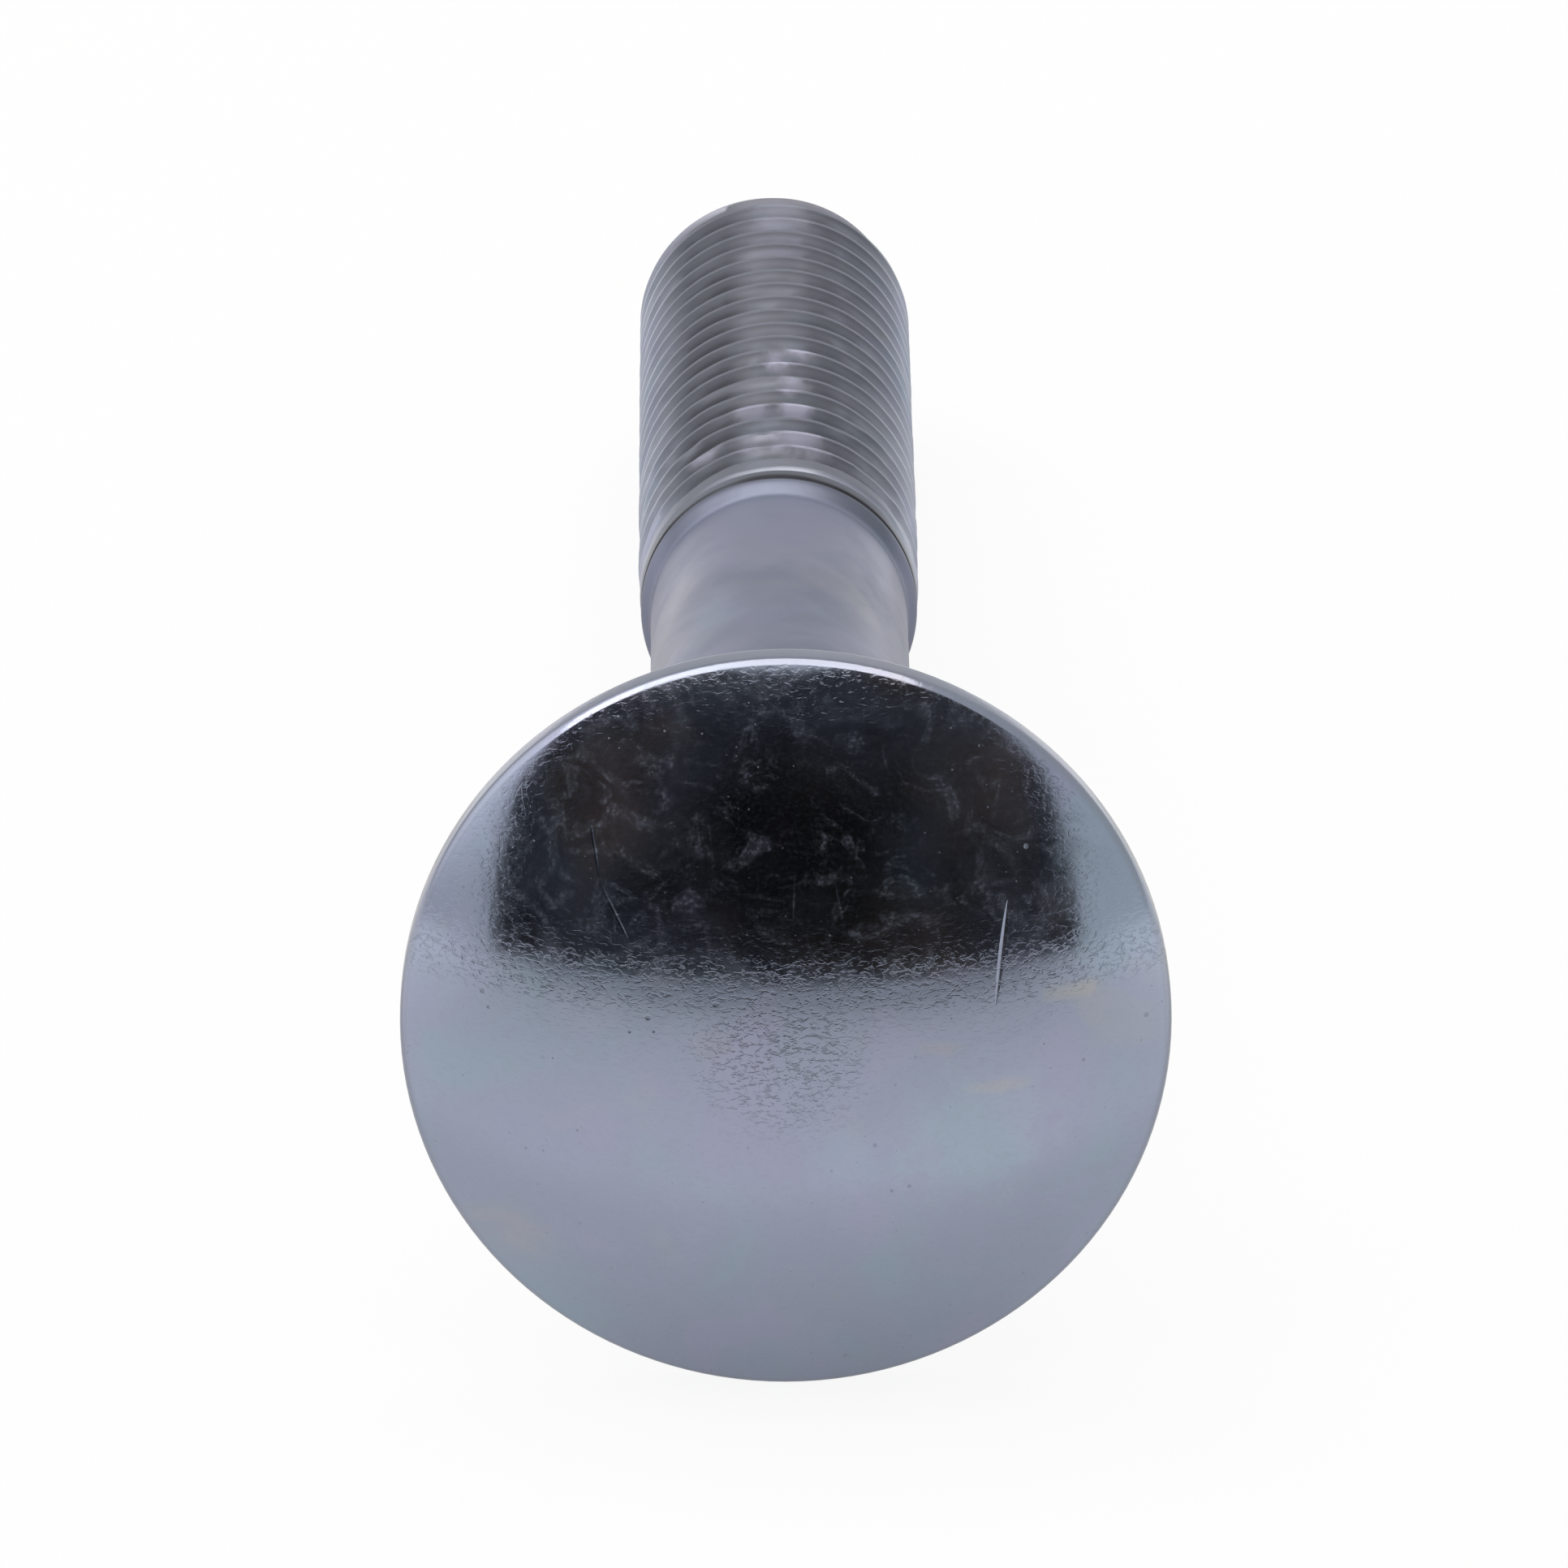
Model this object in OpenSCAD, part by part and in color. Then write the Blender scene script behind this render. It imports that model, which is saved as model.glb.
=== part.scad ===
// Carriage bolt, M8 x 60, with a domed head, a square neck and a reduced shank.
// Millimetres, +Z up. The bolt lies on its head's rim and its threaded end, the head towards -Y,
// and the origin is on the surface below the middle of its box.

/* [Bolt] */
// Length from the head's bearing face to the threaded end
bolt_l = 60; // [45:1:120]
// Diameter of the plain shank, which is the blank that the thread is rolled on
shank_d = 7.16; // [7.04:0.02:7.2]

/* [Head] */
// Diameter of the head
head_d = 20.2; // [19.4:0.05:20.6]
// Height of the head, from its bearing face to the top of the dome
head_h = 4.45; // [4.15:0.05:4.85]
// Height of the rim's straight band, between its two roundings
rim_band_h = 0.5; // [0.2:0.05:0.6]
// Rounding where the dome turns into the rim
rim_top_r = 0.4; // [0.2:0.05:0.5]
// Rounding where the rim turns into the bearing face
rim_low_r = 0.2; // [0.1:0.05:0.3]

/* [Neck] */
// Width of the square neck across its flats
neck_w = 8; // [7.6:0.05:8.55]
// Depth of the neck at full width, from the bearing face
neck_h = 4.2; // [3.8:0.1:5]
// Length over which the neck's corners run out into the shank
neck_runout_l = 1.4; // [1:0.1:2]
// Rounding of the neck's four long corners
neck_corner_r = 1; // [0.6:0.05:1.4]
// Fillet between the neck and the bearing face
neck_fillet_r = 0.5; // [0.2:0.05:0.6]

/* [Thread] */
// Diameter over the thread's crests
thread_d = 7.88; // [7.8:0.02:7.96]
// Diameter at the bottom of the thread's groove
thread_root_d = 6.42; // [6.3:0.02:6.6]
// Distance from one turn of the thread to the next
thread_pitch = 1.25; // [1.2:0.01:1.35]
// Turn of the whole thread about the bolt's axis, in degrees
thread_turn = -68.4; // [-180:0.1:180]
// Length of the thread, from the threaded end to where its first groove starts
thread_l = 27.2; // [20:0.2:36]
// Length of the last turns towards the shank, where the groove runs out and the crests stay lower
thread_fade_l = 2.6; // [1.5:0.1:4]
// Diameter over the crests where the thread starts
thread_start_d = 7.72; // [7.5:0.02:7.78]
// Length of the rounded shoulder between the shank and the thread
shoulder_l = 0.7; // [0.4:0.05:1.2]
// Length of the chamfer at the threaded end
tip_l = 1; // [0.7:0.05:1.3]
// Diameter of the flat end face
tip_d = 6.3; // [5.8:0.05:6.6]

/* [Hidden] */

$fn = 128;
// Straight steps in a curve that isn't a circle's arc
curve_steps = 8;
// Reach of one shape into another that it is one piece with, and of a cutting outline past what it cuts
bite = 1;

head_r = head_d / 2;
shank_r = shank_d / 2;
thread_r = thread_d / 2;
neck_flat_r = neck_w / 2;
neck_corner_at = neck_flat_r - neck_corner_r;
neck_reach = neck_corner_at * sqrt(2) + neck_corner_r;

// Heights along the bolt's own axis: 0 is the bearing face, and the shank points to +Z
neck_end_z = neck_h + neck_runout_l;
thread_start_z = bolt_l - thread_l;
thread_full_z = thread_start_z + thread_fade_l;
thread_end_z = bolt_l - tip_l;

// The flanks stand 60 degrees from the axis, and at the shank's radius groove and ridge are equally wide
flank_slope = tan(60);
root_r = thread_root_d / 2;
root_half_w = thread_pitch / 4 - (shank_r - root_r) / flank_slope;

// The groove is swept in flat steps, and its open side stays just outside the crests all along each step
groove_steps = 24;
groove_clear = 0.02;
groove_out_r = (thread_r + groove_clear) / cos(180 / groove_steps);
groove_count = ceil((thread_l / thread_pitch + 1) * groove_steps);

// Centres of the rim's two roundings, as [radius, height]
rim_low_at = [head_r - rim_low_r, -rim_low_r];
rim_top_at = [head_r - rim_top_r, -rim_low_r - rim_band_h];

// Radius at which the dome reaches its height and touches the rim's upper rounding from outside
dome_rise = head_h + rim_top_at[1];
dome_r = (pow(rim_top_at[0], 2) + pow(dome_rise, 2) - pow(rim_top_r, 2)) / (2 * (dome_rise - rim_top_r));
dome_at = [0, dome_r - head_h];

// Direction from the dome's centre to where the dome runs into the rounding
meet_dir = (rim_top_at - dome_at) / norm(rim_top_at - dome_at);
meet_out = rim_top_at + (rim_top_r + bite) * meet_dir;

// Slope of the lying bolt: the surface touches the rim's lower rounding and the last full crest
lie_reach = [thread_end_z - rim_low_at[1], thread_r - rim_low_at[0]];
lie_angle = asin(rim_low_r / norm(lie_reach)) - atan2(lie_reach[1], lie_reach[0]);
lie_height = rim_low_at[0] * cos(lie_angle) + rim_low_at[1] * sin(lie_angle) + rim_low_r;

// Ends of the lying bolt along Y, measured from the centre of its bearing face
front_y = dome_at[1] * cos(lie_angle) - dome_r;
back_y = bolt_l * cos(lie_angle) + tip_d / 2 * sin(lie_angle);

// Half of the head's section, as radius and height. Each arc is a sector of its own circle, and two
// sectors meet on the line where one arc runs smoothly into the next.
module head_section() {
    intersection() {
        translate(dome_at) circle(r = dome_r);
        polygon([[0, 0], [0, -head_h - bite], [meet_out[0], -head_h - bite],
                 meet_out, rim_top_at, [rim_top_at[0], 0]]);
    }
    intersection() {
        translate(rim_top_at) circle(r = rim_top_r);
        polygon([rim_top_at, meet_out, [head_r + bite, meet_out[1]], [head_r + bite, rim_top_at[1]]]);
    }
    intersection() {
        translate(rim_low_at) circle(r = rim_low_r);
        translate(rim_low_at) square([rim_low_r + bite, rim_low_r + bite]);
    }
    polygon([[rim_top_at[0], 0], rim_top_at, [head_r, rim_top_at[1]], [head_r, rim_low_at[1]],
             rim_low_at, [rim_low_at[0], 0]]);
}

module head() {
    rotate_extrude() head_section();
}

// The neck's square outline with rounded corners
module neck_outline() {
    square([neck_w, 2 * neck_corner_at], center = true);
    square([2 * neck_corner_at, neck_w], center = true);
    for (x = [-1, 1], y = [-1, 1])
        translate([x, y] * neck_corner_at) circle(r = neck_corner_r);
}

// The neck is a square bar whose corners run out to the shank on a cone
module neck() {
    intersection() {
        translate([0, 0, -bite])
            linear_extrude(height = neck_end_z + 2 * bite) neck_outline();
        rotate_extrude()
            polygon([[0, -2 * bite], [neck_reach + bite, -2 * bite], [neck_reach + bite, neck_h],
                     [neck_reach, neck_h], [shank_r, neck_end_z], [0, neck_end_z]]);
    }
}

// Section of the fillet round the neck: a hollow quarter arc, with its back inside the neck
module fillet_section() {
    back = -neck_corner_r / 2;
    polygon(concat(
        [[back, -bite], [neck_fillet_r, -bite]],
        [for (i = [0 : curve_steps])
            let (a = 90 * i / curve_steps)
            neck_fillet_r * [1 - sin(a), 1 - cos(a)]],
        [[back, neck_fillet_r]]
    ));
}

// The fillet follows the neck's outline: a straight run on each flat and a quarter turn at each corner
module neck_fillet() {
    for (side = [0 : 3]) rotate([0, 0, 90 * side]) {
        translate([neck_flat_r, neck_corner_at, 0]) rotate([90, 0, 0])
            linear_extrude(height = 2 * neck_corner_at) fillet_section();
        translate([neck_corner_at, neck_corner_at, 0])
            rotate_extrude(angle = 90) translate([neck_corner_r, 0]) fillet_section();
    }
}

// A point on the shoulder's S-shaped rise, where t goes from 0 on the shank to 1 on the thread
function shoulder_point(t) = [
    shank_r + (thread_start_d / 2 - shank_r) * (1 - cos(180 * t)) / 2,
    thread_start_z - shoulder_l * (1 - t)
];

// Half of the section of the plain shank, the thread's crests and the chamfered end
module shank_section() {
    polygon(concat(
        [[0, -bite], [shank_r, -bite]],
        [for (i = [0 : curve_steps]) shoulder_point(i / curve_steps)],
        [[thread_r, thread_full_z], [thread_r, thread_end_z], [tip_d / 2, bolt_l], [0, bolt_l]]
    ));
}

// Radius of the groove's bottom, which sinks from the crests to its full depth over the thread's first turns
function groove_bottom(z) =
    let (t = min(1, (z - thread_start_z) / thread_fade_l))
    thread_r - (thread_r - root_r) * t * t * (3 - 2 * t);

// Section of the groove at one step along its helix: two points at the bottom and two on the open side
function groove_section(step) =
    let (
        z = thread_start_z + thread_pitch * step / groove_steps,
        bottom = groove_bottom(z),
        open_half_w = root_half_w + (groove_out_r - bottom) / flank_slope,
        corners = [[bottom, -root_half_w], [bottom, root_half_w],
                   [groove_out_r, open_half_w], [groove_out_r, -open_half_w]],
        a = thread_turn + 360 * z / thread_pitch
    )
    [for (c = corners) [c[0] * cos(a), c[0] * sin(a), z + c[1]]];

// The groove of a right-handed thread, swept past the bolt's end
module thread_groove() {
    last = 4 * groove_count;
    polyhedron(
        points = [for (step = [0 : groove_count]) each groove_section(step)],
        faces = concat(
            [[0, 1, 2, 3], [last + 3, last + 2, last + 1, last]],
            [for (first = [0 : 4 : last - 4], side = [0 : 3])
                let (a = first + side, b = first + (side + 1) % 4)
                each [[a, a + 4, b], [b, a + 4, b + 4]]]
        )
    );
}

// Only the groove is faceted: the crests that are left between its turns are truly round
module shank() {
    difference() {
        rotate_extrude() shank_section();
        thread_groove();
    }
}

// One forged and rolled piece, laid down on its rim and its end
module carriage_bolt() {
    color("lightsteelblue")
        translate([0, -(front_y + back_y) / 2, lie_height])
            rotate([-90 - lie_angle, 0, 0]) {
                head();
                neck();
                neck_fillet();
                shank();
            }
}

carriage_bolt();
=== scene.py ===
import math

import bmesh
import bpy
from mathutils import Matrix, Vector


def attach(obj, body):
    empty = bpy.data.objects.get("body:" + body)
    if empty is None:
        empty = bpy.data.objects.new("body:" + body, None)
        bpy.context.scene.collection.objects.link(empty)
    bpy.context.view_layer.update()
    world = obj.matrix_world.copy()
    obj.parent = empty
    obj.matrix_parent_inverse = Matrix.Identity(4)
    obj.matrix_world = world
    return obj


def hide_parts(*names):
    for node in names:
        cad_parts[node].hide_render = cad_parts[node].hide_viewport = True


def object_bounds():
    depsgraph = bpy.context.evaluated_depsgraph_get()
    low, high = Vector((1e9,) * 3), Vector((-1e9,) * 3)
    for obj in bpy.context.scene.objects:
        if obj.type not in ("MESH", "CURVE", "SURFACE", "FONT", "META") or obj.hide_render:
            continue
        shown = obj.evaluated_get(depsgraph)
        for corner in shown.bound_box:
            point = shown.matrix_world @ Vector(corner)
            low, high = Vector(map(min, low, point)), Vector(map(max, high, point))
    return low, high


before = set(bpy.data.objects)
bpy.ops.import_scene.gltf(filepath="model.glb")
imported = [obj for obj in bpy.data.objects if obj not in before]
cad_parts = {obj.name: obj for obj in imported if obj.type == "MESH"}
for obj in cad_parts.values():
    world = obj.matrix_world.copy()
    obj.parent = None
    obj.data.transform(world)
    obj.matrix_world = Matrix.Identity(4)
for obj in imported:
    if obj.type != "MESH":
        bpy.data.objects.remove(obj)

mm = 0.001
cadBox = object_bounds()

# The bolt's own frame: Z runs from the head's bearing face to the threaded end, and -Y is its upper side
boltSize = {
    "headRadius": (cadBox[1].x - cadBox[0].x) / 2,
    "headHeight": 4.45 * mm,
    "rimBand": 0.5 * mm,
    "rimTopRound": 0.4 * mm,
    "rimLowRound": 0.2 * mm,
    "neckHalf": 4.0 * mm,
    "neckDepth": 4.2 * mm,
    "neckRunout": 1.4 * mm,
    "neckCorner": 1.0 * mm,
    "neckFillet": 0.5 * mm,
    "shankRadius": 3.58 * mm,
    "length": 60.0 * mm,
    "segments": 144,             # round every ring of the mesh
}

threadSize = {
    "pitch": 1.25 * mm,
    "crestRadius": 3.94 * mm,
    "rootRadius": 3.21 * mm,
    "startRadius": 3.86 * mm,    # over the crests where the thread starts
    "start": 32.8 * mm,          # from the bearing face
    "shoulder": 0.7 * mm,        # rounded rise from the shank
    "dieMark": 0.22 * mm,        # depth of the ring that the rolling die's edge leaves
    "dieMarkHalf": 0.14 * mm,    # and half its width
    "dieMarkLip": 0.04 * mm,     # from the thread's start to the mark
    "fade": 2.6 * mm,            # over which the grooves reach their depth
    "chamfer": 1.0 * mm,
    "tipRadius": 3.15 * mm,
    "phase": 0.2375 * mm,        # where a groove crosses the X axis
    "flankAngle": math.radians(60),
    "rootRound": 0.24 * mm,
    "crestRound": 0.06 * mm,
    "chamferRound": 0.15 * mm,
    "unevenness": 0.060 * mm,    # how much lower a badly filled crest is
    "unevenReach": 12.0 * mm,    # from the thread's start
    "ringsPerPitch": 18,
    "seed": 4.0,
}

shotSize = {
    "picture": 1932.0,                   # pixels on a side
    "focal": 21837.0,                    # in those pixels
    "sensor": 36.0,
    "distance": 464.4 * mm,              # camera to the centre of the bearing face
    "viewAngle": math.radians(20.02),    # between the view and the bolt's axis
    "sideAngle": math.radians(0.315),
    "faceCentre": (968.1, 1246.4),       # the bearing face's centre in the picture
}


# Where the head's arcs have their centres, as radius and height
rimLowAt = Vector((boltSize["headRadius"] - boltSize["rimLowRound"], -boltSize["rimLowRound"]))
rimTopAt = Vector((boltSize["headRadius"] - boltSize["rimTopRound"], rimLowAt.y - boltSize["rimBand"]))
domeRise = boltSize["headHeight"] + rimTopAt.y
domeRadius = ((rimTopAt.x ** 2 + domeRise ** 2 - boltSize["rimTopRound"] ** 2)
              / (2 * (domeRise - boltSize["rimTopRound"])))
domeAt = Vector((0.0, domeRadius - boltSize["headHeight"]))
domeEdge = math.atan2(rimTopAt.x, domeAt.y - rimTopAt.y)

# The bolt lies on the rim's lower rounding and on the last full crest
lieReach = Vector((boltSize["length"] - threadSize["chamfer"] - rimLowAt.y, threadSize["crestRadius"] - rimLowAt.x))
lieAngle = math.asin(boltSize["rimLowRound"] / lieReach.length) - math.atan2(lieReach.y, lieReach.x)
lieHeight = rimLowAt.x * math.cos(lieAngle) + rimLowAt.y * math.sin(lieAngle) + boltSize["rimLowRound"]
lieFront = domeAt.y * math.cos(lieAngle) - domeRadius
lieBack = boltSize["length"] * math.cos(lieAngle) + threadSize["tipRadius"] * math.sin(lieAngle)
lieTurn = -math.pi / 2 - lieAngle
lieAt = Vector((0.0, -(lieFront + lieBack) / 2, lieHeight))
layDown = Matrix.Translation(lieAt) @ Matrix.Rotation(lieTurn, 4, "X")


def feed(tree, socket, value):
    # A value is a number, a colour, a vector, or another node's output
    if isinstance(value, bpy.types.NodeSocket):
        tree.links.new(value, socket)
    else:
        socket.default_value = value


def addNode(tree, kind, inputs=None, **settings):
    node = tree.nodes.new(kind)
    for name, value in settings.items():
        setattr(node, name, value)
    for name, value in (inputs or {}).items():
        feed(tree, node.inputs[name], value)
    return node


def calc(tree, operation, *values):
    node = addNode(tree, "ShaderNodeMath", operation=operation)
    for socket, value in zip(node.inputs, values):
        feed(tree, socket, value)
    return node.outputs[0]


def vectorCalc(tree, operation, *values):
    node = addNode(tree, "ShaderNodeVectorMath", operation=operation)
    for socket, value in zip(node.inputs, values):
        feed(tree, socket, value)
    return node.outputs["Value" if operation in ("DOT_PRODUCT", "LENGTH", "DISTANCE") else "Vector"]


def remap(tree, value, fromLow, fromHigh, toLow=0.0, toHigh=1.0, smooth=True):
    kind = "SMOOTHSTEP" if smooth else "LINEAR"
    node = addNode(tree, "ShaderNodeMapRange", {
        "Value": value, "From Min": fromLow, "From Max": fromHigh, "To Min": toLow, "To Max": toHigh,
    }, interpolation_type=kind, clamp=True)
    return node.outputs["Result"]


def blendColours(tree, share, first, second, mode="MIX"):
    node = addNode(tree, "ShaderNodeMix", data_type="RGBA", blend_type=mode)
    feed(tree, node.inputs[0], share)
    feed(tree, node.inputs[6], first)
    feed(tree, node.inputs[7], second)
    return node.outputs[2]


def newGroup(name, inputs, outputs, kind="ShaderNodeTree"):
    tree = bpy.data.node_groups.new(name, kind)
    for label, socket in inputs.items():
        tree.interface.new_socket(label, in_out="INPUT", socket_type="NodeSocket" + socket)
    for label, socket in outputs.items():
        tree.interface.new_socket(label, in_out="OUTPUT", socket_type="NodeSocket" + socket)
    return tree, tree.nodes.new("NodeGroupInput").outputs, tree.nodes.new("NodeGroupOutput").inputs


def useGroup(tree, group, inputs):
    node = addNode(tree, "ShaderNodeGroup", node_tree=group)
    for name, value in inputs.items():
        feed(tree, node.inputs[name], value)
    return node.outputs


# Head, neck and shank

def arcPoints(centre, radius, fromAngle, toAngle, steps):
    # Angles are measured from the dome's apex, outwards
    points = []
    for i in range(steps + 1):
        a = fromAngle + (toAngle - fromAngle) * i / steps
        points.append((centre.x + radius * math.sin(a), centre.y - radius * math.cos(a)))
    return points


def roundRing(radius, height):
    count = boltSize["segments"]
    turns = [2 * math.pi * j / count for j in range(count)]
    return [(radius * math.cos(a), radius * math.sin(a), height) for a in turns]


def neckPoint(turn):
    # Point of the rounded square at this angle, and its outward normal
    half, corner = boltSize["neckHalf"], boltSize["neckCorner"]
    quarter = round(turn / (math.pi / 2)) * math.pi / 2
    a = turn - quarter
    side = half - corner
    if abs(math.tan(a)) * half <= side:
        point, normal = Vector((half, half * math.tan(a))), Vector((1.0, 0.0))
    else:
        ray = Vector((math.cos(a), math.sin(a)))
        middle = Vector((side, math.copysign(side, a)))
        reach = ray.dot(middle) + math.sqrt(corner ** 2 - middle.length_squared + ray.dot(middle) ** 2)
        point = ray * reach
        normal = (point - middle) / corner
    spin = Matrix.Rotation(quarter, 2)
    return spin @ point, spin @ normal


def neckRing(offset, height, limit=1.0):
    ring = []
    for j in range(boltSize["segments"]):
        point, normal = neckPoint(2 * math.pi * j / boltSize["segments"])
        point = point + normal * offset
        if point.length > limit:
            point = point.normalized() * limit
        ring.append((point.x, point.y, height))
    return ring


def headProfile():
    low, top = boltSize["rimLowRound"], boltSize["rimTopRound"]
    profile = arcPoints(domeAt, domeRadius, 0, domeEdge, 40)[1:]
    profile += arcPoints(rimTopAt, top, domeEdge, math.pi / 2, 10)[1:]
    profile += arcPoints(rimLowAt, low, math.pi / 2, math.pi, 6)
    return profile


def neckRings():
    fillet, depth, runout = boltSize["neckFillet"], boltSize["neckDepth"], boltSize["neckRunout"]
    side = boltSize["neckHalf"] - boltSize["neckCorner"]
    reach = side * math.sqrt(2) + boltSize["neckCorner"]
    rings = []
    filletSteps, sideSteps, runoutSteps = 7, 6, 20
    for i in range(filletSteps + 1):
        a = math.pi / 2 * i / filletSteps
        rings.append(neckRing(fillet * (1 - math.sin(a)), fillet * (1 - math.cos(a))))
    for i in range(1, sideSteps + 1):
        rings.append(neckRing(0.0, fillet + (depth - fillet) * i / sideSteps))
    for i in range(1, runoutSteps + 1):
        share = i / runoutSteps
        limit = reach + (boltSize["shankRadius"] - reach) * share
        rings.append(neckRing(0.0, depth + runout * share, limit))
    return rings


def shankProfile():
    start, shoulder = threadSize["start"], threadSize["shoulder"]
    shank, crest, mark = boltSize["shankRadius"], threadSize["startRadius"], threadSize["dieMark"]
    neckEnd = boltSize["neckDepth"] + boltSize["neckRunout"]
    plainSteps, shoulderSteps = 10, 14
    profile = []
    for i in range(1, plainSteps + 1):
        profile.append((shank, neckEnd + (start - shoulder - neckEnd) * i / plainSteps))
    for i in range(1, shoulderSteps + 1):
        share = i / shoulderSteps
        rise = (1 - math.cos(math.pi * share)) / 2
        profile.append((shank + (crest - shank) * rise, start - shoulder * (1 - share)))
    halfWidth, lip = threadSize["dieMarkHalf"], threadSize["dieMarkLip"]
    for away, depth in ((lip, 0), (lip + halfWidth, mark), (lip + 2 * halfWidth, 0)):
        profile.append((crest - depth, start + away))
    return profile


def skinRings(rings, closeFirst=None, closeLast=None):
    # Quads between neighbouring rings, and a fan to a point at either end
    count = boltSize["segments"]
    points = [p for ring in rings for p in ring]
    faces = []
    for i in range(len(rings) - 1):
        for j in range(count):
            k = (j + 1) % count
            faces.append((i * count + j, i * count + k, (i + 1) * count + k, (i + 1) * count + j))
    for centre, first in ((closeFirst, 0), (closeLast, (len(rings) - 1) * count)):
        if centre is not None:
            points.append(centre)
            faces += [(first + j, first + (j + 1) % count, len(points) - 1) for j in range(count)]
    return points, faces


def headAndShank():
    rings = [roundRing(r, z) for r, z in headProfile()]
    face = rings[-1]
    neck = neckRings()
    for share in (0.35, 0.7):
        rings.append([Vector(a).lerp(Vector(b), share) for a, b in zip(face, neck[0])])
    rings += neck
    rings += [roundRing(r, z) for r, z in shankProfile()]
    mesh = bpy.data.meshes.new("forgedBlank")
    points, faces = skinRings(rings, closeFirst=(0.0, 0.0, -boltSize["headHeight"]))
    mesh.from_pydata(points, [], faces)
    return mesh, shankProfile()[-1]


def endFace():
    tip, length = threadSize["tipRadius"], boltSize["length"]
    rings = [roundRing(tip * share, length) for share in (1.0, 0.94, 0.8, 0.6, 0.4, 0.2)]
    mesh = bpy.data.meshes.new("shearedEnd")
    points, faces = skinRings(rings, closeLast=(0.0, 0.0, length))
    mesh.from_pydata(points, [], faces)
    return mesh


# Thread

threadInputs = {
    "Pitch": "Float", "Crest Radius": "Float", "Root Radius": "Float", "Shank Radius": "Float",
    "Start": "Float", "Start Radius": "Float", "End": "Float", "Fade": "Float",
    "Chamfer": "Float", "Tip Radius": "Float", "Phase": "Float", "Flank Angle": "Float",
    "Root Round": "Float", "Crest Round": "Float", "Chamfer Round": "Float",
    "Unevenness": "Float", "Uneven Reach": "Float",
    "Rings per Pitch": "Int", "Segments": "Int", "Seed": "Float", "Material": "Material",
}


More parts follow.
